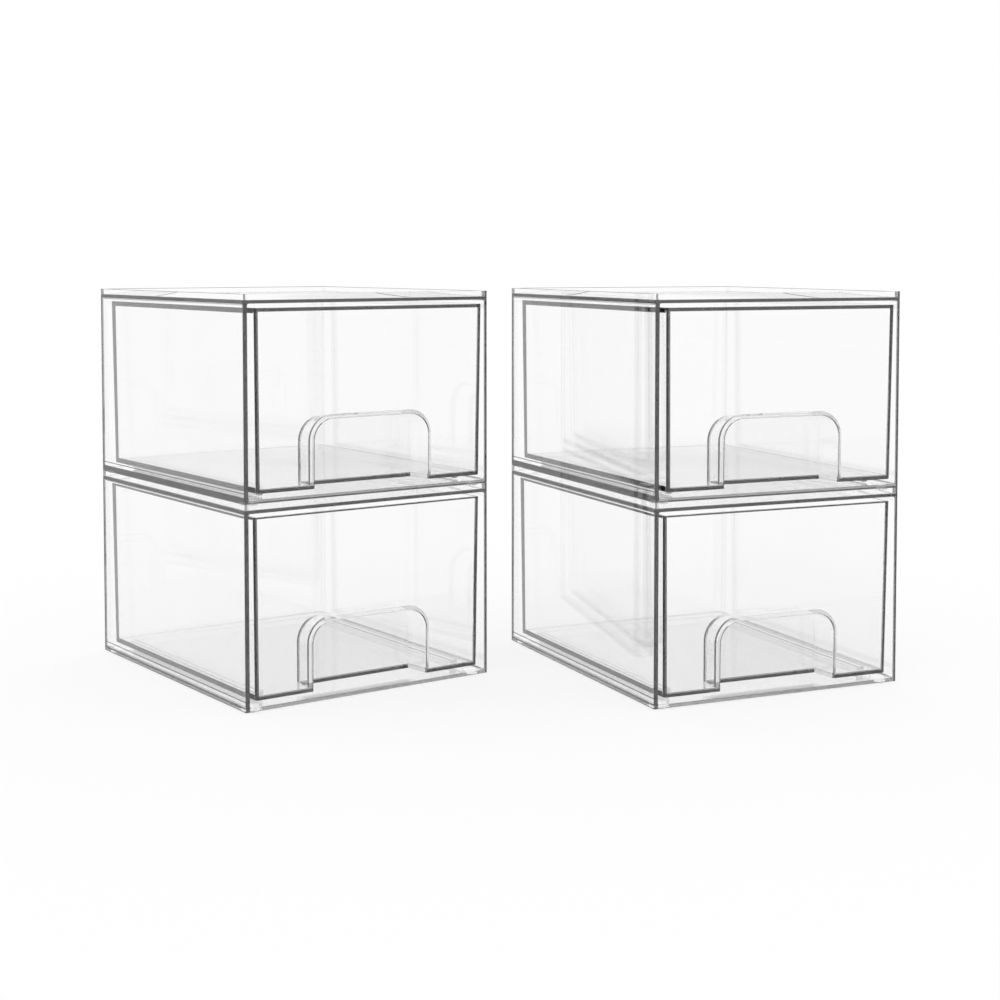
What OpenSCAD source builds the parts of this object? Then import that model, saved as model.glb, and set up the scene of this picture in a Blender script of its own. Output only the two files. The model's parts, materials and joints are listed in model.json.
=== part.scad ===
// Set of four clear stackable drawer boxes: two stacks of two.
// Each box is a moulded case, open at the front, with one pull-out drawer.
// The fronts face -Y, +Z is up, and the origin is the middle of the footprint.

/* [Case] */
// Width of a case across its side walls
case_w = 158; // [130:1:220]
// Depth of a case from its open front to its back
case_d = 188; // [150:1:260]
// Height of a case from its feet to the top of its rim
case_h = 113.2; // [90:0.1:160]
// Thickness of the side walls, the back and the rim
case_wall = 2.4; // [1.8:0.1:3.2]
// Thickness of the base plate
base_t = 2.2; // [1.6:0.1:3]
// Thickness of the top plate
top_t = 1.8; // [1.6:0.1:3]
// Radius of the upright outer corners
case_corner_r = 0.8; // [0.5:0.1:4]
// Radius of the corners of the open front and of the inside of the rim
inner_corner_r = 1.2; // [0.5:0.1:3]

/* [Stacking] */
// Height of the rim above the top plate
rim_h = 3.4; // [2.4:0.1:6]
// Height of the feet, which drop inside the rim of the box below
foot_h = 1.2; // [0.8:0.1:2]
// Radius of a foot
foot_r = 4.5; // [2:0.25:6]
// Play between a foot and the rim that locates it
foot_play = 0.5; // [0.3:0.1:1]
// Air between a rim and the base that stands on it
seat_gap = 0.05; // [0.02:0.01:0.3]

/* [Drawer] */
// Gap between the drawer's top edge and each side wall
drawer_side_gap = 3.2; // [1:0.1:5]
// Gap between the drawer's top edge and the top plate
drawer_top_gap = 2.3; // [0.6:0.1:4]
// Gap between the drawer's top edge and the back of the case
drawer_back_gap = 1.2; // [0.6:0.1:4]
// Thickness of the drawer's walls
drawer_wall = 2.2; // [1.6:0.1:3]
// Thickness of the drawer's floor
drawer_floor = 2.2; // [1.6:0.1:3]
// How far each of the four walls leans in from the top edge to the floor
drawer_draft = 1.1; // [0:0.1:2.5]
// Radius of the drawer's upright corners, outside
drawer_corner_r = 2; // [1.5:0.25:8]
// Radius of the drawer's upright corners, inside
drawer_inner_r = 0.4; // [0.2:0.1:6]

/* [Glides] */
// Width of each of the two ribs under the drawer, which glide on the base plate
glide_w = 5; // [4:0.5:16]
// Height of a glide rib below the drawer's floor
glide_h = 2.9; // [2:0.1:5]
// Radius of a glide rib's lower edges
glide_r = 2; // [0.5:0.1:2]
// How far a glide rib lies in from the drawer's side, at the floor
glide_inset = 5.8; // [0.5:0.1:12]
// How far a glide rib stops short of the drawer's front and back
glide_setback = 14; // [4:1:40]
// Running gap between a glide rib and the base plate
glide_gap = 0.3; // [0.2:0.05:0.6]

/* [Finger pull] */
// Width of the arched opening in the drawer's front
pull_w = 74; // [50:1:90]
// Height of the arched opening above the underside of the drawer
pull_h = 38; // [28:1:60]
// Depth of the niche behind the opening
pull_depth = 17.5; // [12:0.5:30]
// Radius of the arch's upper corners
pull_r = 12; // [6:1:18]
// How far the niche narrows and drops towards its back
pull_draft = 2; // [0:0.25:3]
// Wall of the niche
pull_wall = 2.6; // [1.8:0.1:3.5]

/* [Set] */
// Clear space between the left stack and the right one
stack_gap = 24; // [10:1:120]
// How far the right stack stands in front of the left one
stack_forward = 140; // [0:1:160]
// Turn of the right stack, seen from above
stack_turn = -12; // [-25:1:25]
// How far the upper drawers stand open
upper_drawer_out = 2.6; // [0:0.1:20]

/* [Hidden] */
$fn = 48;

clear_plastic = [0.93, 0.95, 0.96, 0.35];
clear_drawer = [0.97, 0.97, 0.98, 0.35];
cut = 1;          // how far a cut runs past the face that it opens
slab = 0.01;      // thickness of the end slices that a leaning form is hulled from
hull_fn = 32;     // facets of a round corner on a leaning form

// Levels of one box, measured up from its feet
base_top = foot_h + base_t;
top_plate_top = case_h - rim_h;
top_plate_low = top_plate_top - top_t;
shell_h = case_h - foot_h;
stack_pitch = shell_h + seat_gap;

// Drawer, measured in the frame of its case
bay_w = case_w - 2 * case_wall;
drawer_low = base_top + glide_gap + glide_h;
drawer_high = top_plate_low - drawer_top_gap;
drawer_w = bay_w - 2 * drawer_side_gap;
drawer_d = case_d - case_wall - drawer_back_gap;
front_y = -case_d / 2;
pull_top = drawer_low + pull_h;

// Places of the two stacks about the middle of their common footprint
straight_w = case_w - 2 * case_corner_r;
straight_d = case_d - 2 * case_corner_r;
turned_w = straight_w * cos(stack_turn) + straight_d * abs(sin(stack_turn)) + 2 * case_corner_r;
turned_d = straight_d * cos(stack_turn) + straight_w * abs(sin(stack_turn)) + 2 * case_corner_r;
right_from_left = [case_w / 2 + stack_gap + turned_w / 2, -stack_forward];
// (a turned upper drawer may reach further to the front than its case)
drawer_reach = (drawer_w / 2 - drawer_corner_r) * abs(sin(stack_turn))
    + (upper_drawer_out - front_y - drawer_corner_r) * cos(stack_turn) + drawer_corner_r;
set_right = right_from_left.x + turned_w / 2;
set_front = min(front_y - upper_drawer_out, right_from_left.y - max(turned_d / 2, drawer_reach));
set_back = max(case_d / 2, right_from_left.y + turned_d / 2);
left_at = [-(set_right - case_w / 2) / 2, -(set_front + set_back) / 2];
right_at = left_at + right_from_left;

// Rectangle with round corners, centred, drawn so that its sides stay true lines and arcs
module rounded_rect(w, d, r) {
    square([w - 2 * r, d], center = true);
    square([w, d - 2 * r], center = true);
    for (x = [-1, 1], y = [-1, 1])
        translate([x * (w / 2 - r), y * (d / 2 - r)]) circle(r);
}

// Upright outline of the arch: straight legs down to its foot, round upper corners
module arch_outline(w, foot, top, r) {
    for (x = [-1, 1])
        translate([x * (w / 2 - r), top - r]) circle(r, $fn = hull_fn);
    translate([-w / 2, foot]) square([w, top - r - foot]);
}

// Four feet, set in so that they drop inside the rim of the case below
module feet() {
    inset = case_wall + foot_play + foot_r;
    for (x = [-1, 1], y = [-1, 1])
        translate([x * (case_w / 2 - inset), y * (case_d / 2 - inset), 0])
            cylinder(r = foot_r, h = foot_h);
}

// The case: four walls, a base and a recessed top plate with the rim round it
module case_shell() {
    bay_d = case_d - case_wall;
    difference() {
        translate([0, 0, foot_h])
            linear_extrude(shell_h) rounded_rect(case_w, case_d, case_corner_r);
        translate([0, case_d / 2 - case_wall, (base_top + top_plate_low) / 2]) rotate([90, 0, 0])
            linear_extrude(bay_d + cut) rounded_rect(bay_w, top_plate_low - base_top, inner_corner_r);
        translate([0, 0, top_plate_top]) linear_extrude(rim_h + cut)
            rounded_rect(bay_w, case_d - 2 * case_wall, inner_corner_r);
    }
    feet();
}

// Outside of the drawer: all four walls lean in towards the floor
module tub_outside() {
    hull() for (end = [[drawer_low, drawer_draft], [drawer_high - slab, 0]])
        translate([0, front_y + drawer_d / 2, end[0]]) linear_extrude(slab)
            rounded_rect(drawer_w - 2 * end[1], drawer_d - 2 * end[1], drawer_corner_r, $fn = hull_fn);
}

// Inside of the drawer, one wall in from the outside and open at the top
module tub_inside() {
    lean = drawer_draft / (drawer_high - drawer_low);
    floor_z = drawer_low + drawer_floor;
    for_floor = lean * (drawer_high - floor_z);
    hull() for (end = [[floor_z, for_floor], [drawer_high + cut, -lean * cut]]) {
        inset = 2 * (end[1] + drawer_wall);
        translate([0, front_y + drawer_d / 2, end[0]]) linear_extrude(slab)
            rounded_rect(drawer_w - inset, drawer_d - inset, drawer_inner_r, $fn = hull_fn);
    }
}

// Block of the finger pull between two upright slices, grown by an even wall
module pull_block(wall, from_y, to_y, foot) {
    hull() for (y = [from_y, to_y]) {
        narrow = pull_draft * y / pull_depth;
        translate([0, front_y + y, 0]) rotate([90, 0, 0])
            linear_extrude(slab, center = true)
                arch_outline(pull_w + 2 * (wall - narrow), foot, pull_top + wall - narrow, pull_r + wall);
    }
}

// Two ribs under the drawer's floor, round along their lower edges
module glides() {
    length = drawer_d - 2 * glide_setback;
    middle = drawer_w / 2 - drawer_draft - glide_inset - glide_w / 2;
    for (x = [-1, 1])
        translate([x * middle, front_y + glide_setback + length, drawer_low]) rotate([90, 0, 0])
            linear_extrude(length) hull() {
                for (edge = [-1, 1])
                    translate([edge * (glide_w / 2 - glide_r), glide_r - glide_h])
                        circle(glide_r, $fn = hull_fn);
                translate([-glide_w / 2, 0]) square([glide_w, drawer_floor / 2]);
            }
}

// The drawer: a tub whose front is drawn back into an arched niche for the fingers
module drawer_tub() {
    difference() {
        union() {
            difference() {
                tub_outside();
                tub_inside();
            }
            pull_block(pull_wall, drawer_draft + drawer_wall / 2, pull_depth + pull_wall, drawer_low);
            glides();
        }
        pull_block(0, -cut, pull_depth, drawer_low - cut);
    }
}

module in_left_stack(level) {
    translate([left_at.x, left_at.y, level * stack_pitch]) children();
}

module in_right_stack(level) {
    translate([right_at.x, right_at.y, level * stack_pitch]) rotate([0, 0, stack_turn]) children();
}

// Stands a drawer a little open, as the upper two are left
module part_open() {
    translate([0, -upper_drawer_out, 0]) children();
}

module left_lower_case() { color(clear_plastic) in_left_stack(0) case_shell(); }
module left_lower_drawer() { color(clear_drawer) in_left_stack(0) drawer_tub(); }
module left_upper_case() { color(clear_plastic) in_left_stack(1) case_shell(); }
module left_upper_drawer() { color(clear_drawer) in_left_stack(1) part_open() drawer_tub(); }
module right_lower_case() { color(clear_plastic) in_right_stack(0) case_shell(); }
module right_lower_drawer() { color(clear_drawer) in_right_stack(0) drawer_tub(); }
module right_upper_case() { color(clear_plastic) in_right_stack(1) case_shell(); }
module right_upper_drawer() { color(clear_drawer) in_right_stack(1) part_open() drawer_tub(); }

left_lower_case();
left_lower_drawer();
left_upper_case();
left_upper_drawer();
right_lower_case();
right_lower_drawer();
right_upper_case();
right_upper_drawer();
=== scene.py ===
# %% [markdown]
# # Clear stackable drawer boxes
# This lesson dresses a set of four clear drawer boxes: two stacks of two. Each box is a moulded case,
# open at the front, and one drawer whose front is drawn back into an arched niche for the fingers.
# The construction model gives every size and place. It is loaded first and nothing in it is moved.
# The pieces modelled here take the place of its plain solids, one for one.

# %% Load the construction model
import json
import math

import bmesh
import bpy
from mathutils import Matrix, Vector


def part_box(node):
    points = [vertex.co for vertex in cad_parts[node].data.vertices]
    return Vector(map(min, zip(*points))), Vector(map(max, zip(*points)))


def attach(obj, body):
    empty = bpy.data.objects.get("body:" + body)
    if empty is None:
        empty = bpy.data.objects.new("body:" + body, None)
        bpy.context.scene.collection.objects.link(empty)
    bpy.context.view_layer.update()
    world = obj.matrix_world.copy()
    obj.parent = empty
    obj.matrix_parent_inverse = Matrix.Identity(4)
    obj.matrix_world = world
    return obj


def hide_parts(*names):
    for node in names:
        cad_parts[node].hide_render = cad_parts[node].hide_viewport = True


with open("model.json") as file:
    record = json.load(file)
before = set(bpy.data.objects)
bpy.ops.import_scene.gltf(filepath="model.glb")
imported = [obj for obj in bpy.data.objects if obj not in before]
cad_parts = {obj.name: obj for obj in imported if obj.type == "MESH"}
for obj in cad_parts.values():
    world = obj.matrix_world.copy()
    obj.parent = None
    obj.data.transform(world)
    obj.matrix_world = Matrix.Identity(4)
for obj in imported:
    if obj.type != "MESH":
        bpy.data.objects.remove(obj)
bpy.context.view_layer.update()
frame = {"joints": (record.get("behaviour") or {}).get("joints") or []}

MM = 0.001  # one millimetre in Blender's metres

# %% [markdown]
# ## The camera
# A camera on the drawers' left, a little above the upper boxes, sees one side and the front of each stack.
# A level camera with a large shift would hold every upright parallel, as an architect's camera does, and an
# unshifted one would make them lean. Here most of the way down is a shift and the rest a slight tilt.

# %% Camera
CAMERA_PLACE = Vector((-0.6172, -0.8437, 0.2448))  # metres, in the frame of the set
CAMERA_YAW = math.radians(35.798)    # turned from straight ahead towards the right
CAMERA_PITCH = math.radians(-3.05)   # below the horizon
SENSOR_WIDTH = 36.0                  # millimetres
FOCAL_LENGTH = 62.95                 # millimetres
SHIFT_DOWN = -0.15                   # share of the picture's width


def add_camera():
    """Adds the camera and makes it the scene's own."""
    lens = bpy.data.cameras.new("studio_camera")
    lens.sensor_width = SENSOR_WIDTH
    lens.lens = FOCAL_LENGTH
    lens.shift_y = SHIFT_DOWN
    camera = bpy.data.objects.new("studio_camera", lens)
    bpy.context.scene.collection.objects.link(camera)
    turn = Matrix.Rotation(-CAMERA_YAW, 4, "Z") @ Matrix.Rotation(math.radians(90) + CAMERA_PITCH, 4, "X")
    camera.matrix_world = Matrix.Translation(CAMERA_PLACE) @ turn
    bpy.context.scene.camera = camera
    return camera


camera = add_camera()
print("camera stands %.2f m from the middle of the set" % CAMERA_PLACE.length)

# %% [markdown]
# ## Sizes of the case
# The overall sizes are measured on the construction model, so that they follow it. Wall thicknesses and radii
# can't be read from a box, so they are named, here and wherever a new one is first needed. A moulder keeps
# all walls about equally thick, because thick and thin stretches cool at different speeds and the clear
# plastic then shows sink marks.

# %% Sizes of the case, measured and named
case_low, case_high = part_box("left_lower_case")
case_width = case_high.x - case_low.x
case_depth = case_high.y - case_low.y
case_height = case_high.z - case_low.z
half_width = case_width / 2
half_depth = case_depth / 2
CASE_WALL = 2.4 * MM
BASE_PLATE = 2.2 * MM
TOP_PLATE = 1.8 * MM
RIM_HEIGHT = 3.4 * MM
FOOT_HEIGHT = 1.2 * MM
CORNER_RADIUS = 0.8 * MM  # outer uprights
INNER_CORNER = 1.2 * MM   # corners of the open front and of the inside of the rim
front = -case_depth / 2   # the plane of the open front, with the middle of a box at zero
base_top = FOOT_HEIGHT + BASE_PLATE
plate_top = case_height - RIM_HEIGHT
plate_low = plate_top - TOP_PLATE
print("one case: %.1f x %.1f x %.1f mm" % (case_width / MM, case_depth / MM, case_height / MM))

# %% [markdown]
# ## Tools for modelling by hand
# Blender's own operators act on whatever is selected. In the window one clicks on a face. In a script one
# describes it: by where its middle lies, or by which way it looks. These helpers start a blank, open it for
# editing, pick what a test describes, and join or cut with a second piece.

# %% Modelling helpers


def select_only(piece):
    """Deselects everything, then selects one piece and makes it active."""
    bpy.ops.object.select_all(action="DESELECT")
    piece.select_set(True)
    bpy.context.view_layer.objects.active = piece


def add_block(name, size, middle):
    """Adds a block with its size and place already in its mesh."""
    bpy.ops.object.select_all(action="DESELECT")
    bpy.ops.mesh.primitive_cube_add(size=1, location=middle)
    block = bpy.context.active_object
    block.name = name
    block.scale = size
    bpy.ops.object.transform_apply(location=True, rotation=False, scale=True)
    return block


def open_for_editing(piece):
    """Goes into edit mode with nothing selected, because a new primitive starts selected all over."""
    select_only(piece)
    bpy.ops.object.mode_set(mode="EDIT")
    bpy.ops.mesh.select_all(action="DESELECT")


def close_editing():
    """Goes back to object mode."""
    bpy.ops.object.mode_set(mode="OBJECT")


def pick(piece, kind, test):
    """Selects the vertices, edges or faces that pass a test, and says how many."""
    bpy.ops.mesh.select_mode(type=kind)
    bpy.ops.mesh.select_all(action="DESELECT")
    mesh = bmesh.from_edit_mesh(piece.data)
    if kind == "VERT":
        found = [v for v in mesh.verts if test(v.co)]
    elif kind == "EDGE":
        found = [e for e in mesh.edges if test((e.verts[0].co + e.verts[1].co) / 2,
                                               (e.verts[1].co - e.verts[0].co).normalized())]
    else:
        found = [f for f in mesh.faces if test(f.calc_center_median(), f.normal)]
    for item in found:
        item.select_set(True)
    mesh.select_flush_mode()
    bmesh.update_edit_mesh(piece.data)
    return len(found)


def round_edges(radius, segments):
    """Rounds the picked edges."""
    bpy.ops.mesh.bevel(offset=radius, segments=segments, affect="EDGES", clamp_overlap=False)


def combine(piece, other, operation):
    """Joins the other piece to this one or cuts it away, and then removes the other."""
    select_only(piece)
    boolean = piece.modifiers.new("combine", "BOOLEAN")
    boolean.object = other
    boolean.operation = operation
    boolean.solver = "EXACT"
    bpy.ops.object.modifier_apply(modifier=boolean.name)
    bpy.data.objects.remove(other)


# %% [markdown]
# ## The case
# The real case is one injection moulding: two side walls, a back, a base plate and a top plate that lies a
# little lower than the rim round it. The next box up stands on that rim, and its feet drop inside it.
# It could be built from five plates, but clear plastic shows every inner joint. So a single block is
# hollowed by two cutting blocks. Each block's own edges are rounded first, while it is still simple, because
# a corner where many edges meet is hard to round well.

# %% Model the case
Y, Z = 1, 2    # the axes from front to back and upwards, by number
ALONG = 0.9    # a direction with this share along an axis counts as lying along it
CUT = 1 * MM   # how far a cutting piece runs past the face that it opens


def round_all_along(piece, axis, radius, segments):
    """Rounds the edges of a block that run along one axis."""
    open_for_editing(piece)
    count = pick(piece, "EDGE", lambda middle, along: abs(along[axis]) > ALONG)
    round_edges(radius, segments)
    close_editing()
    return count


def rim_cutter():
    """Makes the block that sinks the top plate below the rim."""
    cutter = add_block("rim_cutter", (case_width - 2 * CASE_WALL, case_depth - 2 * CASE_WALL,
                                      RIM_HEIGHT + CUT),
                       (0, 0, plate_top + (RIM_HEIGHT + CUT) / 2))
    round_all_along(cutter, Z, INNER_CORNER, segments=4)
    return cutter


def bay_cutter():
    """Makes the block that opens the front and hollows the bay for the drawer."""
    cutter = add_block("bay_cutter", (case_width - 2 * CASE_WALL, case_depth - CASE_WALL + CUT,
                                      plate_low - base_top),
                       (0, -(CASE_WALL + CUT) / 2, (plate_low + base_top) / 2))
    round_all_along(cutter, Y, INNER_CORNER, segments=4)
    return cutter


case_model = add_block("case_model", (case_width, case_depth, case_height - FOOT_HEIGHT),
                       (0, 0, (case_height + FOOT_HEIGHT) / 2))
print("case:", round_all_along(case_model, Z, CORNER_RADIUS, segments=3), "uprights rounded")
combine(case_model, rim_cutter(), "DIFFERENCE")
combine(case_model, bay_cutter(), "DIFFERENCE")

# %% [markdown]
# Four low feet stand near the corners, just far enough in to drop inside the rim of the box below. Each one
# is a short cylinder with its lower edge rounded, joined to the base so that no wall is left between them.

# %% Add the feet
FOOT_RADIUS = 4.5 * MM
FOOT_PLAY = 0.5 * MM      # between a foot and the rim that holds it
FOOT_ROUNDING = 0.5 * MM
FOOT_SIDES = 48
TINY = 0.05 * MM  # how close a point must lie to count as being on a plane


def add_foot(x, y):
    """Makes one foot, which reaches a little into the base plate to be joined there."""
    root = BASE_PLATE / 2
    bpy.ops.object.select_all(action="DESELECT")
    bpy.ops.mesh.primitive_cylinder_add(vertices=FOOT_SIDES, radius=FOOT_RADIUS, depth=FOOT_HEIGHT + root,
                                        location=(x, y, (FOOT_HEIGHT + root) / 2))
    foot = bpy.context.active_object
    bpy.ops.object.transform_apply(location=True, rotation=False, scale=True)
    open_for_editing(foot)
    pick(foot, "EDGE", lambda middle, along: middle.z < TINY)
    round_edges(FOOT_ROUNDING, segments=3)
    close_editing()
    return foot


foot_inset = CASE_WALL + FOOT_PLAY + FOOT_RADIUS
for side in (-1, 1):
    for end in (-1, 1):
        combine(case_model, add_foot(side * (half_width - foot_inset), end * (half_depth - foot_inset)),
                "UNION")
print("case with its feet:", len(case_model.data.polygons), "faces")

# %% [markdown]
# ## The drawer
# The real drawer is a tub that leans in slightly all round, because a moulding must slip off its core. Its
# front carries an arched niche instead of a handle, so that nothing stands out and boxes pack close.
# The box that is measured round it takes in the two ribs below its floor, so their height is taken off again
# to find where the tub itself ends.

# %% Sizes of the drawer, measured and named
drawer_low, drawer_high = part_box("left_lower_drawer")
drawer_width = drawer_high.x - drawer_low.x
drawer_depth = drawer_high.y - drawer_low.y
DRAWER_WALL = 2.2 * MM
DRAWER_FLOOR = 2.2 * MM
DRAWER_DRAFT = 1.1 * MM   # how far each wall leans in from the rim to the floor
DRAWER_CORNER = 2 * MM
DRAWER_INNER_CORNER = 0.4 * MM
GLIDE_HEIGHT = 2.9 * MM   # of the two ribs that the drawer stands on
middle_y = front + drawer_depth / 2
tub_low = drawer_low.z - case_low.z + GLIDE_HEIGHT   # underside of the drawer's floor
tub_high = drawer_high.z - case_low.z                # the drawer's rim
tub_height = tub_high - tub_low
print("one drawer: %.1f x %.1f mm, its tub %.1f mm high" % (drawer_width / MM, drawer_depth / MM,
                                                            tub_height / MM))

# %% [markdown]
# The tub starts as a block whose top is inset and pushed down. Its lower points are then drawn together,
# which gives the lean in one move. Modelling five leaning walls one by one would leave five joints to close.

# %% Model the drawer's tub


def extrude_by(x, y, z):
    """Extrudes the picked faces by this much."""
    bpy.ops.mesh.extrude_region_move(TRANSFORM_OT_translate={"value": (x, y, z)})


def draw_in(piece, level, by):
    """Draws the points of one level in towards the middle, by the same distance on all four sides."""
    points = [v.co for v in piece.data.vertices if abs(v.co.z - level) < TINY]
    width = max(p.x for p in points) - min(p.x for p in points)
    depth = max(p.y for p in points) - min(p.y for p in points)
    open_for_editing(piece)
    pick(piece, "VERT", lambda place: abs(place.z - level) < TINY)
    bpy.ops.transform.resize(value=(1 - 2 * by / width, 1 - 2 * by / depth, 1),
                             center_override=(0, middle_y, level))
    close_editing()


def round_tub_corners(drawer):
    """Rounds the uprights of the tub, outside and inside."""
    open_for_editing(drawer)
    outer = pick(drawer, "EDGE", lambda middle, along: abs(along.z) > ALONG
                 and abs(middle.x) > drawer_width / 2 - DRAWER_WALL)
    round_edges(DRAWER_CORNER, segments=6)
    inner = pick(drawer, "EDGE", lambda middle, along: abs(along.z) > ALONG
                 and abs(middle.x) < drawer_width / 2 - DRAWER_WALL
                 and abs(middle.y - middle_y) < drawer_depth / 2 - DRAWER_WALL)
    round_edges(DRAWER_INNER_CORNER, segments=2)
    close_editing()
    print("drawer:", outer, "outer and", inner, "inner uprights rounded")


drawer_model = add_block("drawer_model", (drawer_width, drawer_depth, tub_height),
                         (0, middle_y, tub_low + tub_height / 2))
open_for_editing(drawer_model)
pick(drawer_model, "FACE", lambda middle, normal: normal.z > ALONG)
bpy.ops.mesh.inset(thickness=DRAWER_WALL)
extrude_by(0, 0, DRAWER_FLOOR - tub_height)
close_editing()
draw_in(drawer_model, tub_low, DRAWER_DRAFT)
draw_in(drawer_model, tub_low + DRAWER_FLOOR, DRAWER_DRAFT * (1 - DRAWER_FLOOR / tub_height))
round_tub_corners(drawer_model)

# %% [markdown]
# ## The finger pull
# The niche is a hollow arch, a little narrower at its back. Two solid arches make it: the outer one, grown by
# the wall's thickness, is joined to the tub, and the inner one then cuts the hollow through the front.

# %% Model the niche
PULL_WIDTH = 74 * MM
PULL_HEIGHT = 38 * MM
PULL_DEPTH = 17.5 * MM
PULL_RADIUS = 12 * MM
PULL_DRAFT = 2 * MM       # how far the niche narrows and drops towards its back
PULL_WALL = 2.6 * MM
pull_top = tub_low + PULL_HEIGHT


def add_arch(name, grown, from_y, to_y, foot):
    """Makes a solid arch between two depths behind the front, narrower and lower towards its back."""
    def narrow(y):
        return PULL_DRAFT * y / PULL_DEPTH
    top = pull_top + grown - narrow(from_y)
    width = PULL_WIDTH + 2 * (grown - narrow(from_y))
    arch = add_block(name, (width, to_y - from_y, top - foot),
                     (0, front + (from_y + to_y) / 2, (top + foot) / 2))
    open_for_editing(arch)
    pick(arch, "EDGE", lambda middle, along: abs(along.y) > ALONG and middle.z > top - TINY)
    round_edges(PULL_RADIUS + grown, segments=12)
    pick(arch, "VERT", lambda place: place.y > front + to_y - TINY)
    step = narrow(to_y) - narrow(from_y)
    bpy.ops.transform.resize(value=(1 - 2 * step / width, 1, 1 - step / (top - foot)),
                             center_override=(0, front + to_y, foot))
    close_editing()
    return arch


combine(drawer_model, add_arch("outer_arch", PULL_WALL, DRAWER_DRAFT + DRAWER_WALL / 2,
                               PULL_DEPTH + PULL_WALL, tub_low), "UNION")
print("tub with the niche's solid:", len(drawer_model.data.polygons), "faces")

# %% [markdown]
# Two low ribs run under the floor, one near each side. They are round along their lower edges and are all
# that touches the case when the drawer slides.

# %% Add the glide ribs
GLIDE_WIDTH = 5 * MM
GLIDE_ROUNDING = 2 * MM
GLIDE_INSET = 5.8 * MM    # from the drawer's side, at the floor
GLIDE_SETBACK = 14 * MM   # from the drawer's front and back


def add_rib(side):
    """Makes one glide rib, which reaches into the floor to be joined there."""
    root = DRAWER_FLOOR / 2
    length = drawer_depth - 2 * GLIDE_SETBACK
    middle_x = side * (drawer_width / 2 - DRAWER_DRAFT - GLIDE_INSET - GLIDE_WIDTH / 2)
    rib = add_block("glide_rib", (GLIDE_WIDTH, length, GLIDE_HEIGHT + root),
                    (middle_x, middle_y, tub_low + (root - GLIDE_HEIGHT) / 2))
    open_for_editing(rib)
    lowest = tub_low - GLIDE_HEIGHT
    pick(rib, "EDGE", lambda middle, along: abs(along.y) > ALONG and middle.z < lowest + TINY)
    round_edges(GLIDE_ROUNDING, segments=6)
    close_editing()
    return rib


for side in (-1, 1):
    combine(drawer_model, add_rib(side), "UNION")
combine(drawer_model, add_arch("inner_arch", 0, -CUT, PULL_DEPTH, tub_low - CUT), "DIFFERENCE")
print("drawer with its niche:", len(drawer_model.data.polygons), "faces")

# %% [markdown]
# The front of the niche rolls in with a small rounding, so that it is kind to the fingers. Its two legs and
# its arch are one chain of edges, and rounding them together keeps the lip even all the way round.

# %% Round the niche's lip
LIP_RADIUS = 0.9 * MM
open_for_editing(drawer_model)
lip = pick(drawer_model, "EDGE", lambda middle, along: middle.y < front + DRAWER_DRAFT + TINY
           and abs(middle.x) < PULL_WIDTH / 2 + TINY and middle.z > tub_low + TINY
           and middle.z < pull_top + TINY)
round_edges(LIP_RADIUS, segments=3)
close_editing()
print("lip edges rounded:", lip)

# %% [markdown]
# ## Faces for the painted shade lines
# On a clear moulding, wherever the thickness of a plate is seen end-on, it reads as a dark line, because
# light is lost inside it. The material paints some of those lines as a dark colour, painted shade in place of
# that loss of light, so the faces that carry them are cut out here: the rim of the drawer, the end of its
# floor, its uprights, the niche's left wall and back, and the ends of the case's plates. Most lines are about
# as wide as the plate behind them is thick, or as much of it as reads dark. The rear upright is the widest,
# because the end of the back wall is seen there together with its rounded corner.

# %% Widths of the painted shade lines
RIM_LINE = 0.8 * MM       # the drawer's rim, on a lower box
RIM_BAND = 2 * MM         # the drawer's rim with the band below it, on an upper box
SIDE_RIM_LINE = 1.3 * MM  # the same two on the drawer's sides
SIDE_RIM_BAND = 2.8 * MM
SIDE_FLOOR_LINE = 3.1 * MM  # end of the drawer's floor, on its sides
REAR_LINE = 7 * MM        # rear upright of the drawer's side
LEFT_LINE = 1.7 * MM      # left upright of the drawer's front
RIGHT_LINE = 2.6 * MM     # right upright of the drawer's front
FLOOR_LINE = 1.9 * MM     # end of the drawer's floor, at the front
NICHE_LINE = 2.4 * MM     # rear edge of the niche's left wall
JOIN_LINE = 2.2 * MM      # where that wall meets the drawer's front
PLATE_BAND = 1.5 * MM     # root of the wall above the base plate, on an upper box
PLATE_LINE = 0.8 * MM     # fine line at the base plate's top, on a lower box
UNDER_LINE = 0.5 * MM     # lower edge of the base plate, on a lower box
ROOT_LINE = 0.6 * MM      # fine line above the root of the wall
ROOT_LEVEL = 3.6 * MM     # height of that fine line above the base plate
SEAM_LINE = 0.9 * MM      # lowest part of the base plate's end
WALL_LINE = 1.7 * MM      # the right wall's end, of which only the outer part reads dark
drawer_back = front + drawer_depth
join_back = front + DRAWER_WALL + DRAWER_DRAFT + JOIN_LINE
niche_back = front + PULL_DEPTH + PULL_WALL
root_line = base_top + ROOT_LEVEL
print("the niche's back lies %.1f mm behind the front" % ((niche_back - front) / MM))

# %% [markdown]
# Each test tells one kind of face, by where its middle lies and by the share of its normal along an axis.
# The picks below and the marks further on use the same tests, so a cut and its mark can't drift apart.

# %% Tests for the faces
SKIN = 2 * MM    # a face of the drawer's outer skin lies no further in than this
MAINLY = 0.5     # share of a normal above which a face looks mainly that way
PARTLY = 0.3     # share above which it looks partly that way
SLIGHTLY = 0.1   # share above which it looks slightly that way
LIP_TURN = 0.15  # share by which a face of the lip has turned into the niche


def outside_drawer(middle, normal):
    """Tells the outer skin of the tub from its inner faces and from the niche."""
    return abs(normal.z) < MAINLY and (abs(middle.x) > drawer_width / 2 - SKIN or middle.y < front + SKIN
                                       or middle.y > drawer_back - SKIN)


def side_of_drawer(middle, normal):
    """Tells the two flat outer sides of the tub."""
    return outside_drawer(middle, normal) and abs(normal.x) > ALONG


def front_of_drawer(middle, normal):
    """Tells the flat outer front of the tub."""
    return outside_drawer(middle, normal) and normal.y < -ALONG


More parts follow.
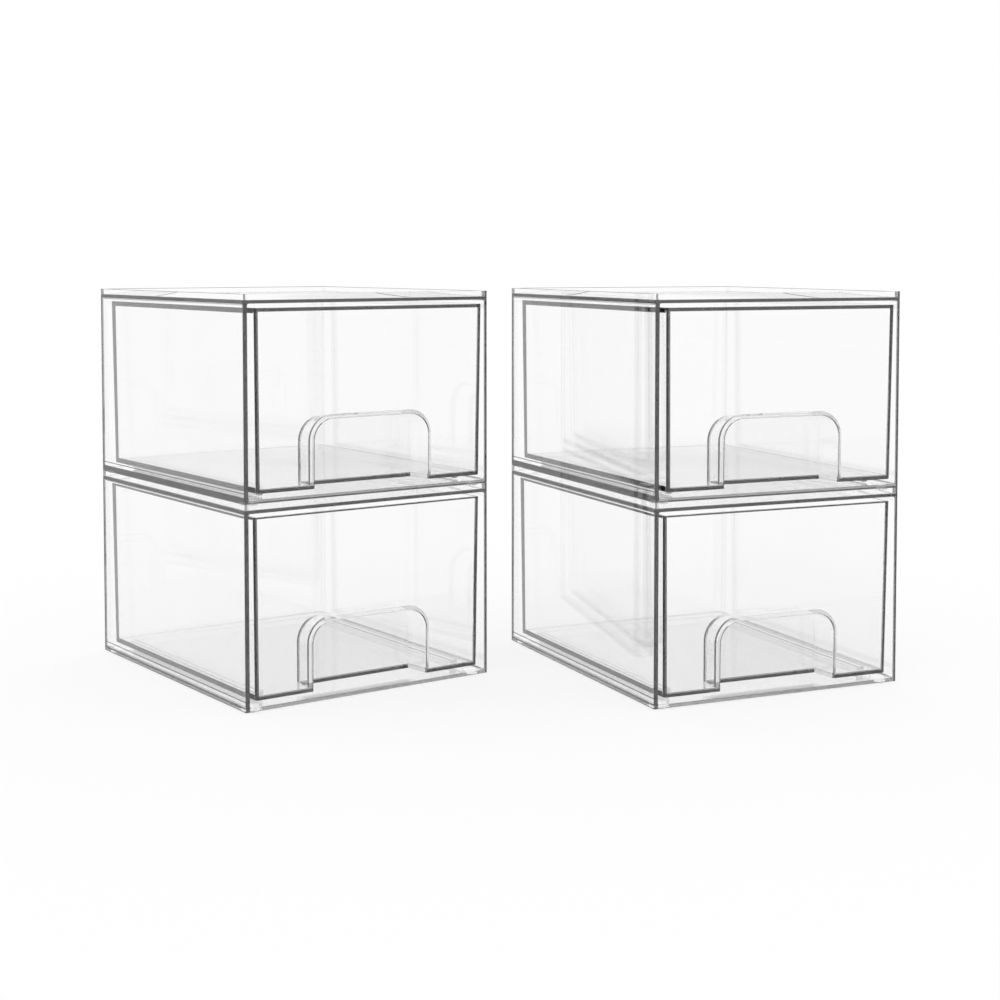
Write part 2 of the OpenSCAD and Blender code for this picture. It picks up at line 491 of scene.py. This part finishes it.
def left_of_niche(middle, normal):
    """Tells the outer skin of the niche's left wall and shoulder, inside the tub."""
    return (normal.x < -PARTLY and -PULL_WIDTH / 2 - PULL_WALL - TINY < middle.x < 0
            and front + DRAWER_WALL < middle.y < niche_back and middle.z > tub_low + DRAWER_FLOOR)


def back_of_niche(middle, normal):
    """Tells the face at the back of the niche, which looks out through the front."""
    return normal.y < -ALONG and abs(middle.y - (front + PULL_DEPTH)) < TINY


def lip_of_niche(middle, normal):
    """Tells the rounded lip down the niche's left leg and over its left shoulder."""
    return (middle.y < front + DRAWER_DRAFT + LIP_RADIUS and -PULL_WIDTH / 2 - LIP_RADIUS < middle.x < 0
            and normal.y < -SLIGHTLY and normal.x > LIP_TURN and middle.z > tub_low)


def skin_of_case(middle, normal):
    """Tells the outer faces of the case, all round."""
    return abs(normal.z) < MAINLY and (abs(middle.x) > half_width - CORNER_RADIUS
                                       or abs(middle.y) > half_depth - CORNER_RADIUS)


for test in (outside_drawer, side_of_drawer, front_of_drawer, left_of_niche, back_of_niche, lip_of_niche):
    found = [face for face in drawer_model.data.polygons if test(face.center, face.normal)]
    print(test.__name__, "finds", len(found), "faces of the drawer")

# %% [markdown]
# A face is cut with Bisect, along a plane across it. The cut leaves the face as flat as it was, so nothing
# shows where a face carries no line. Strips of thin geometry laid on the walls would do as much for the
# picture, but they would be no part of the moulding.

# %% Cut the faces that carry lines
lean = DRAWER_DRAFT / tub_height


def cut_across(piece, test, place, direction):
    """Cuts the picked faces in two along a plane and leaves them joined."""
    open_for_editing(piece)
    pick(piece, "FACE", test)
    bpy.ops.mesh.bisect(plane_co=place, plane_no=direction)
    close_editing()


for level in (tub_high - RIM_LINE, tub_high - RIM_BAND):
    cut_across(drawer_model, outside_drawer, (0, 0, level), (0, 0, 1))
for level in (tub_low + SIDE_FLOOR_LINE, tub_high - SIDE_RIM_LINE, tub_high - SIDE_RIM_BAND):
    cut_across(drawer_model, side_of_drawer, (0, 0, level), (0, 0, 1))
cut_across(drawer_model, side_of_drawer, (0, drawer_back - REAR_LINE, 0), (0, 1, 0))
for side, line in ((-1, LEFT_LINE), (1, RIGHT_LINE)):
    cut_across(drawer_model, front_of_drawer, (side * (drawer_width / 2 - line), 0, tub_high),
               (1, 0, -side * lean))
for test in (front_of_drawer, back_of_niche):
    cut_across(drawer_model, test, (0, 0, tub_low + FLOOR_LINE), (0, 0, 1))
for depth in (niche_back - NICHE_LINE, join_back):
    cut_across(drawer_model, left_of_niche, (0, depth, 0), (0, 1, 0))
for level in (FOOT_HEIGHT + UNDER_LINE, FOOT_HEIGHT + SEAM_LINE, base_top - PLATE_LINE / 2,
              base_top + PLATE_LINE / 2, base_top + PLATE_BAND, root_line - ROOT_LINE / 2,
              root_line + ROOT_LINE / 2, plate_low, plate_top):
    cut_across(case_model, skin_of_case, (0, 0, level), (0, 0, 1))
cut_across(case_model, skin_of_case, (half_width - WALL_LINE, 0, 0), (1, 0, 0))
for end in (-1, 1):
    cut_across(case_model, skin_of_case, (end * (half_width - CASE_WALL), 0, 0), (1, 0, 0))
    cut_across(case_model, skin_of_case, (0, end * (half_depth - CASE_WALL), 0), (0, 1, 0))
print("faces after the cuts: case %d, drawer %d" % (len(case_model.data.polygons),
                                                    len(drawer_model.data.polygons)))

# %% [markdown]
# ## Softened edges
# No moulded edge is knife sharp. A clear part shows this more than any other, because each softened edge
# bends the light away and reads as a fine dark line. The Bevel modifier rounds every edge sharper than its
# angle. A Weighted Normal modifier then keeps the large flat faces flat to the light, or the panels would
# look as wavy as a bottle.

# %% Soften the edges
EDGE_RADIUS = 0.25 * MM
SHARP = math.radians(40)  # an edge sharper than this is rounded


def soften(piece, radius):
    """Rounds all sharp edges of a finished piece."""
    select_only(piece)
    bevel = piece.modifiers.new("softened_edges", "BEVEL")
    bevel.width = radius
    bevel.segments = 2
    bevel.limit_method = "ANGLE"
    bevel.angle_limit = SHARP
    bevel.use_clamp_overlap = False
    bpy.ops.object.modifier_apply(modifier=bevel.name)
    bpy.ops.object.shade_smooth_by_angle(angle=SHARP)
    flat = piece.modifiers.new("true_flats", "WEIGHTED_NORMAL")
    flat.keep_sharp = True
    bpy.ops.object.modifier_apply(modifier=flat.name)
    print(piece.name, "has", len(piece.data.polygons), "faces after its edges are softened")


for piece in (case_model, drawer_model):
    soften(piece, EDGE_RADIUS)

# %% [markdown]
# ## Marks for the painted shade lines
# Each face keeps one number, a face attribute that the material reads: the share of light that its painted
# dark line lets in. The line is painted shade. Nought is plain clear plastic, and a number below nought only
# greys it, which is painted shade too, on the drawer's floor and the back of the niche. A face that is seen
# through the case's wall is marked darker and a little wider, because the wall's own gloss lies over it like
# a veil. An upper box is close to eye level and stands on another box, so its rims, its base plate and the
# seam below it are painted with more shade than those of a lower one, and the two levels are marked apart.

# %% Rule for the drawer's painted shade marks
# Shares of light let through by each painted shade line: dark colour standing in for the shade of end-on
# plastic.
PANEL_LINE_SHADE = 0.09          # on a panel
FRONT_LINE_SHADE = 0.192   # down the drawer's front and along its floor
VEILED_LINE_SHADE = 0.005  # seen through the wall of the case, or where the niche meets the front
LIP_LINE_SHADE = 0.2      # on the niche's lip
REAR_NICHE_SHADE = 0.05  # on the rear edge of the niche's left wall
FLOOR_SHADE = -0.18   # painted shade that greys the drawer's floor
NICHE_BACK_SHADE = -0.09  # painted shade that greys the back of the niche
FRONT_CORNER = 0.35  # share of its normal by which a face of a rounded upright still faces the front


def drawer_line_shade(middle, normal, level):
    """Tells the share of light that a face of the drawer lets in along its painted shade lines."""
    at_front = middle.y < front + DRAWER_CORNER + DRAWER_DRAFT and normal.y < -SLIGHTLY
    line = PANEL_LINE_SHADE if at_front else VEILED_LINE_SHADE
    from_side = drawer_width / 2 - lean * (tub_high - middle.z) - abs(middle.x)
    if outside_drawer(middle, normal):
        if middle.z > tub_high - (RIM_BAND if level == "upper" else RIM_LINE):
            return line
        side_rim = SIDE_RIM_BAND if level == "upper" else SIDE_RIM_LINE
        if abs(normal.x) > MAINLY and not at_front and (middle.y > drawer_back - REAR_LINE
                                                        or middle.z < tub_low + SIDE_FLOOR_LINE
                                                        or middle.z > tub_high - side_rim):
            return line
        upright = LEFT_LINE if middle.x < 0 else RIGHT_LINE
        if normal.y < -FRONT_CORNER and (from_side < upright or middle.z < tub_low + FLOOR_LINE):
            return FRONT_LINE_SHADE
    if back_of_niche(middle, normal):
        return FRONT_LINE_SHADE if middle.z < tub_low + FLOOR_LINE else NICHE_BACK_SHADE
    if lip_of_niche(middle, normal):
        return LIP_LINE_SHADE
    if left_of_niche(middle, normal):
        if middle.y < join_back:
            return VEILED_LINE_SHADE
        if middle.y > niche_back - NICHE_LINE and normal.x < -MAINLY:
            return REAR_NICHE_SHADE
    if normal.z > ALONG and abs(middle.z - tub_low - DRAWER_FLOOR) < TINY:
        return FLOOR_SHADE
    return 0.0


for level in ("lower", "upper"):
    found = [face for face in drawer_model.data.polygons if drawer_line_shade(face.center, face.normal, level) > 0]
    print("lines on the", level, "drawer:", len(found), "faces")

# %% [markdown]
# The case has its painted shade lines at the ends of its plates: the top plate all round, the two side walls
# at the front, the back wall at the sides, and the base plate.

# %% Rule for the case's marks
END_SHADE = 0.24   # painted shade on the end of a plate, where little light is left
RIM_TOP_SHADE = 0.15  # painted shade along the top of the rim
LEVEL_TOP = 0.95  # share of its normal by which a face counts as part of the rim's level top


def edge_of_rim(middle, normal):
    """Tells the softened top edge of the rim, at the sides and the back."""
    return (middle.z > case_height - EDGE_RADIUS and SLIGHTLY < normal.z < LEVEL_TOP
            and middle.y > front + CASE_WALL)


def case_line_shade(middle, normal, level):
    """Tells the share of light that a face of the case lets in along its painted shade lines."""
    if level == "upper" and edge_of_rim(middle, normal):
        return RIM_TOP_SHADE
    if not skin_of_case(middle, normal):
        return 0.0
    on_front, on_side = normal.y < -MAINLY, abs(normal.x) > MAINLY
    lines = [
        plate_low < middle.z < plate_top,
        on_front and middle.z > FOOT_HEIGHT and middle.x > half_width - WALL_LINE,
        on_front and FOOT_HEIGHT < middle.z < plate_top and middle.x < CASE_WALL - half_width,
        on_side and middle.z < plate_top and middle.y > half_depth - CASE_WALL,
        on_side and abs(middle.z - root_line) < ROOT_LINE / 2,
        on_side and abs(middle.z - base_top) < PLATE_LINE / 2,
        on_side and middle.z < FOOT_HEIGHT + UNDER_LINE,
        on_side and level == "upper" and middle.z < base_top + PLATE_BAND,
        on_front and level == "upper" and middle.z < FOOT_HEIGHT + SEAM_LINE,
    ]
    return END_SHADE if any(lines) else 0.0


for level in ("lower", "upper"):
    found = [face for face in case_model.data.polygons if case_line_shade(face.center, face.normal, level) > 0]
    print("lines on the", level, "case:", len(found), "faces")

# %% [markdown]
# ## Clear plastic
# Polystyrene bends light like glass, with an index of about 1.5, and is faintly grey along a long path.
# A ray that crosses a wall hardly loses anything, but one that enters the end of a wall runs inside it for
# its whole length. That is why the flat panels look clear and the ends of the plates look dark, and the
# absorption inside the material makes both from one number. The marked lines add painted shade on top of it.
#
# Three node groups hold what makes a moulding look moulded: its streaks, with the painted shade that greys
# marked faces, its waves and its painted shade lines. A group is built once and used by both plastics, and
# its named sockets say what can be set on it.

# %% Start a node group


def new_group(name, inputs, outputs):
    """Starts a node group with named sockets, and gives its tree and its two end nodes."""
    group = bpy.data.node_groups.new(name, "ShaderNodeTree")
    for label, kind, value in inputs:
        socket = group.interface.new_socket(name=label, in_out="INPUT", socket_type=kind)
        socket.default_value = value
    for label, kind in outputs:
        group.interface.new_socket(name=label, in_out="OUTPUT", socket_type=kind)
    return group, group.nodes.new("NodeGroupInput"), group.nodes.new("NodeGroupOutput")


# %% [markdown]
# The plastic leaves faint streaks as it flows from the gate into the mould. They are a noise, stretched from
# the front to the back and laid on white so thinly that only a large panel shows it. The same group greys
# the faces whose marks lie below nought, as painted shade.

# %% Streaks of flow, and painted shade


def streaks_and_shade_group():
    """Streaks of flow in the moulding, and painted shade that greys marked faces, as a tint close to white.
    """
    group, start, end = new_group(
        "streaks_and_shade",
        [("Vector", "NodeSocketVector", (0, 0, 0)), ("Mark", "NodeSocketFloat", 0.0),
         ("Scale", "NodeSocketFloat", 9.0), ("Clear Tint", "NodeSocketColor", (1, 1, 1, 1)),
         ("Streak Tint", "NodeSocketColor", (0.9, 0.9, 0.9, 1))],
        [("Tint", "NodeSocketColor")])
    stretch = group.nodes.new("ShaderNodeVectorMath")
    stretch.operation = "MULTIPLY"
    stretch.inputs[1].default_value = (1.0, 0.25, 1.0)  # streaks run from the front to the back
    noise = group.nodes.new("ShaderNodeTexNoise")
    noise.inputs["Detail"].default_value = 3
    shape = group.nodes.new("ShaderNodeMapRange")
    shape.inputs["From Min"].default_value = 0.5
    shape.inputs["From Max"].default_value = 0.9
    tint = group.nodes.new("ShaderNodeMix")
    tint.data_type = "RGBA"
    # painted shade: a mark below nought scales the tint down
    shade_part = group.nodes.new("ShaderNodeMath")
    shade_part.operation = "MINIMUM"
    shade_part.inputs[1].default_value = 0.0
    clearness = group.nodes.new("ShaderNodeMath")
    clearness.inputs[1].default_value = 1.0
    greyed = group.nodes.new("ShaderNodeVectorMath")
    greyed.operation = "SCALE"
    link = group.links.new
    link(start.outputs["Vector"], stretch.inputs[0])
    link(stretch.outputs[0], noise.inputs["Vector"])
    link(start.outputs["Scale"], noise.inputs["Scale"])
    link(noise.outputs["Fac"], shape.inputs["Value"])
    link(shape.outputs["Result"], tint.inputs["Factor"])
    link(start.outputs["Clear Tint"], tint.inputs["A"])
    link(start.outputs["Streak Tint"], tint.inputs["B"])
    link(start.outputs["Mark"], shade_part.inputs[0])
    link(shade_part.outputs[0], clearness.inputs[0])
    link(tint.outputs["Result"], greyed.inputs[0])
    link(clearness.outputs[0], greyed.inputs["Scale"])
    link(greyed.outputs[0], end.inputs["Tint"])
    return group


streaks_and_shade = streaks_and_shade_group()
print("group", streaks_and_shade.name, "has", len(streaks_and_shade.nodes), "nodes")

# %% [markdown]
# A moulded panel is never quite flat. It cools unevenly and is left a little wavy, and what is mirrored in it
# sways by a hair. The mesh needn't be bent for that: a bump of a hundredth of a millimetre turns the normal
# just enough.

# %% Waves of the panels


def moulded_waves_group():
    """Slight waviness of a moulded panel, as a normal."""
    group, start, end = new_group(
        "moulded_waves",
        [("Vector", "NodeSocketVector", (0, 0, 0)), ("Scale", "NodeSocketFloat", 14.0),
         ("Depth", "NodeSocketFloat", 0.00001)],
        [("Normal", "NodeSocketVector")])
    wave = group.nodes.new("ShaderNodeTexNoise")
    wave.inputs["Detail"].default_value = 1
    bump = group.nodes.new("ShaderNodeBump")
    link = group.links.new
    link(start.outputs["Vector"], wave.inputs["Vector"])
    link(start.outputs["Scale"], wave.inputs["Scale"])
    link(wave.outputs["Fac"], bump.inputs["Height"])
    link(start.outputs["Depth"], bump.inputs["Distance"])
    link(bump.outputs["Normal"], end.inputs["Normal"])
    return group


moulded_waves = moulded_waves_group()
print("group", moulded_waves.name, "has", len(moulded_waves.nodes), "nodes")

# %% [markdown]
# The third group turns a face's mark into the colour of its line, painted shade in place of the dark of
# end-on plastic. A real line is never even, so a noise takes a little from it here and adds a little there.

# %% Colour of the painted shade lines
LEAST_MARK = 0.001  # a face with a mark above this carries a line


def painted_shade_lines_group():
    """Turns a face's mark into the colour of its painted shade line, a little uneven, and tells whether it
    has one.
    """
    group, start, end = new_group(
        "painted_shade_lines",
        [("Vector", "NodeSocketVector", (0, 0, 0)), ("Mark", "NodeSocketFloat", 0.0),
         ("Scale", "NodeSocketFloat", 60.0), ("Unevenness", "NodeSocketFloat", 0.3)],
        [("Colour", "NodeSocketColor"), ("Mask", "NodeSocketFloat")])
    noise = group.nodes.new("ShaderNodeTexNoise")
    noise.inputs["Detail"].default_value = 1
    about_nought = group.nodes.new("ShaderNodeMath")
    about_nought.operation = "SUBTRACT"
    about_nought.inputs[1].default_value = 0.5
    part = group.nodes.new("ShaderNodeMath")
    part.operation = "MULTIPLY_ADD"
    part.inputs[2].default_value = 1.0
    share = group.nodes.new("ShaderNodeMath")
    share.operation = "MULTIPLY"
    squared = group.nodes.new("ShaderNodeMath")  # the shader takes the root of its colour at each face
    squared.operation = "MULTIPLY"
    colour = group.nodes.new("ShaderNodeCombineColor")
    marked = group.nodes.new("ShaderNodeMath")
    marked.operation = "GREATER_THAN"
    marked.inputs[1].default_value = LEAST_MARK
    link = group.links.new
    link(start.outputs["Vector"], noise.inputs["Vector"])
    link(start.outputs["Scale"], noise.inputs["Scale"])
    link(noise.outputs["Fac"], about_nought.inputs[0])
    link(about_nought.outputs[0], part.inputs[0])
    link(start.outputs["Unevenness"], part.inputs[1])
    link(part.outputs[0], share.inputs[0])
    link(start.outputs["Mark"], share.inputs[1])
    for factor in (0, 1):
        link(share.outputs[0], squared.inputs[factor])
    for channel in ("Red", "Green", "Blue"):
        link(squared.outputs[0], colour.inputs[channel])
    link(start.outputs["Mark"], marked.inputs[0])
    link(colour.outputs["Color"], end.inputs["Colour"])
    link(marked.outputs[0], end.inputs["Mask"])
    return group


painted_shade_lines = painted_shade_lines_group()
print("group", painted_shade_lines.name, "has", len(painted_shade_lines.nodes), "nodes")

# %% [markdown]
# The shader itself stays in the material: clear plastic, whose colour turns to the line's painted shade where
# a face has one. A line is only shown from outside. A ray that comes from within the plastic finds the face
# clear and passes, so the far walls of a box show no lines.

# %% Clear plastic
ABSORPTION = 5.0   # per metre of plastic
REFRACTION = 1.5   # index of clear polystyrene


def clear_plastic(name, streak):
    """Makes the clear moulded plastic."""
    plastic = bpy.data.materials.new(name)
    plastic.use_nodes = True
    nodes, link = plastic.node_tree.nodes, plastic.node_tree.links.new
    output = nodes["Material Output"]
    clear = nodes["Principled BSDF"]
    clear.inputs["Roughness"].default_value = 0.0
    clear.inputs["IOR"].default_value = REFRACTION
    clear.inputs["Transmission Weight"].default_value = 1.0
    inside = nodes.new("ShaderNodeVolumeAbsorption")
    inside.inputs["Color"].default_value = (0, 0, 0, 1)
    inside.inputs["Density"].default_value = ABSORPTION
    place = nodes.new("ShaderNodeTexCoord")
    # the mark of each face, which sets its painted shade line
    mark = nodes.new("ShaderNodeAttribute")
    mark.attribute_name = "painted_line_shade"
    flow, waves, lines = [nodes.new("ShaderNodeGroup") for group in range(3)]
    flow.node_tree, waves.node_tree, lines.node_tree = streaks_and_shade, moulded_waves, painted_shade_lines
    flow.inputs["Streak Tint"].default_value = (streak, streak, streak, 1)
    for group in (flow, waves, lines):
        link(place.outputs["Object"], group.inputs["Vector"])
    for group in (flow, lines):
        link(mark.outputs["Fac"], group.inputs["Mark"])
    side = nodes.new("ShaderNodeNewGeometry")
    from_outside = nodes.new("ShaderNodeMath")
    from_outside.operation = "SUBTRACT"
    from_outside.inputs[0].default_value = 1.0
    shown = nodes.new("ShaderNodeMath")
    shown.operation = "MULTIPLY"
    # where a face carries a line and is seen from outside, the base colour turns to the line's painted shade
    colour = nodes.new("ShaderNodeMix")
    colour.data_type = "RGBA"
    link(side.outputs["Backfacing"], from_outside.inputs[1])
    link(lines.outputs["Mask"], shown.inputs[0])
    link(from_outside.outputs[0], shown.inputs[1])
    link(shown.outputs[0], colour.inputs["Factor"])
    link(flow.outputs["Tint"], colour.inputs["A"])
    link(lines.outputs["Colour"], colour.inputs["B"])
    link(colour.outputs["Result"], clear.inputs["Base Color"])
    link(waves.outputs["Normal"], clear.inputs["Normal"])
    link(inside.outputs["Volume"], output.inputs["Volume"])
    return plastic


case_plastic = clear_plastic("clear_case_plastic", streak=0.99)
drawer_plastic = clear_plastic("clear_drawer_plastic", streak=0.985)
print("plastics:", case_plastic.name, "and", drawer_plastic.name)

# %% [markdown]
# ## Four boxes from two models
# Each copy gets a mesh of its own, carried to its place. The places and the turn of the right stack are
# measured on the construction model.

# %% Place the copies


def mark_faces(piece, line_of, level):
    """Writes on every face how much light its painted shade line lets in."""
    marks = piece.data.attributes.new("painted_line_shade", "FLOAT", "FACE")
    for face in piece.data.polygons:
        marks.data[face.index].value = line_of(face.center, face.normal, level)
    return sum(mark.value != 0 for mark in marks.data)


def middle_of(node):
    """Gives the middle of a node's box."""
    low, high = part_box(node)
    return (low + high) / 2


def turn_of(stack):
    """Gives the turn of a stack, from the way its lower drawer slides out."""
    slide = [joint for joint in frame["joints"] if joint["name"] == stack + "_lower_drawer_slide"][0]
    return math.atan2(slide["axis"][0], -slide["axis"][1])


def place_copy(model, stack, level, kind, line_of, finish):
    """Copies a model to one box of the set, in place of the construction solid of the same name."""
    node = "%s_%s_%s" % (stack, level, kind)
    middle = middle_of(node)
    own_middle = Vector((0, middle_y if kind == "drawer" else 0, 0))
    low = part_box("%s_%s_case" % (stack, level))[0].z
    piece = model.copy()
    piece.data = model.data.copy()
    piece.name = node + "_moulding"
    bpy.context.scene.collection.objects.link(piece)
    turn = Matrix.Rotation(turn_of(stack), 4, "Z")
    carry = Matrix.Translation((middle.x, middle.y, low)) @ turn @ Matrix.Translation(-own_middle)
    lines = mark_faces(piece, line_of, level)
    piece.data.transform(carry)
    piece.data.materials.append(finish)
    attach(piece, node)
    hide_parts(node)
    print(piece.name, "carries lines on", lines, "faces")


for stack in ("left", "right"):
    for level in ("lower", "upper"):
        place_copy(case_model, stack, level, "case", case_line_shade, case_plastic)
        place_copy(drawer_model, stack, level, "drawer", drawer_line_shade, drawer_plastic)
for model in (case_model, drawer_model):
    bpy.data.objects.remove(model)
print("turn of the right stack: %.1f degrees" % math.degrees(turn_of("right")))

# %% [markdown]
# ## White studio
# The boxes stand on a plain white floor in plain white light. What the camera, a reflection or a ray through
# the plastic sees of the floor is mostly plain white, and the rest is a matt surface that takes the shadow.

# %% World and floor
SHADOW_SHARE = 0.15  # share of the floor's light that the shadow can take
FLOOR_SIZE = 6.0     # metres


def white_world():
    """Surrounds the set with even white light."""
    world = bpy.data.worlds.new("white_studio")
    world.use_nodes = True
    background = world.node_tree.nodes["Background"]
    background.inputs["Color"].default_value = (1, 1, 1, 1)
    background.inputs["Strength"].default_value = 1.0
    bpy.context.scene.world = world


def floor_finish():
    """Makes the floor white to the camera and to the plastic, with a share of matt surface for the shadow."""
    finish = bpy.data.materials.new("studio_floor")
    finish.use_nodes = True
    nodes, links = finish.node_tree.nodes, finish.node_tree.links
    nodes.clear()
    output = nodes.new("ShaderNodeOutputMaterial")
    matt = nodes.new("ShaderNodeBsdfDiffuse")
    matt.inputs["Color"].default_value = (1, 1, 1, 1)
    white = nodes.new("ShaderNodeEmission")
    white.inputs["Color"].default_value = (1, 1, 1, 1)
    path = nodes.new("ShaderNodeLightPath")
    seen = nodes.new("ShaderNodeMath")
    seen.operation = "MAXIMUM"
    seen_through = nodes.new("ShaderNodeMath")
    seen_through.operation = "MAXIMUM"
    share = nodes.new("ShaderNodeMath")
    share.operation = "MULTIPLY"
    share.inputs[1].default_value = 1 - SHADOW_SHARE
    blend = nodes.new("ShaderNodeMixShader")
    links.new(path.outputs["Is Camera Ray"], seen.inputs[0])
    links.new(path.outputs["Is Glossy Ray"], seen.inputs[1])
    links.new(seen.outputs[0], seen_through.inputs[0])
    links.new(path.outputs["Is Transmission Ray"], seen_through.inputs[1])
    links.new(seen_through.outputs[0], share.inputs[0])
    links.new(share.outputs[0], blend.inputs[0])
    links.new(matt.outputs[0], blend.inputs[1])
    links.new(white.outputs[0], blend.inputs[2])
    links.new(blend.outputs[0], output.inputs["Surface"])
    return finish


white_world()
bpy.ops.object.select_all(action="DESELECT")
bpy.ops.mesh.primitive_plane_add(size=FLOOR_SIZE)
floor = bpy.context.active_object
floor.name = "studio_floor"
floor.data.materials.append(floor_finish())
print("floor: %.0f m square" % FLOOR_SIZE)

# %% [markdown]
# ## How the picture is made
# A ray inside a clear wall turns round many times before it leaves, so the number of turns it may take is
# raised. With too few, the ends of the plates come out black.

# %% Picture settings
MOST_TURNS = 64
scene = bpy.context.scene
scene.view_settings.view_transform = "Standard"
scene.cycles.max_bounces = MOST_TURNS
scene.cycles.transmission_bounces = MOST_TURNS
scene.cycles.glossy_bounces = MOST_TURNS
print("a ray may turn %d times" % scene.cycles.max_bounces)
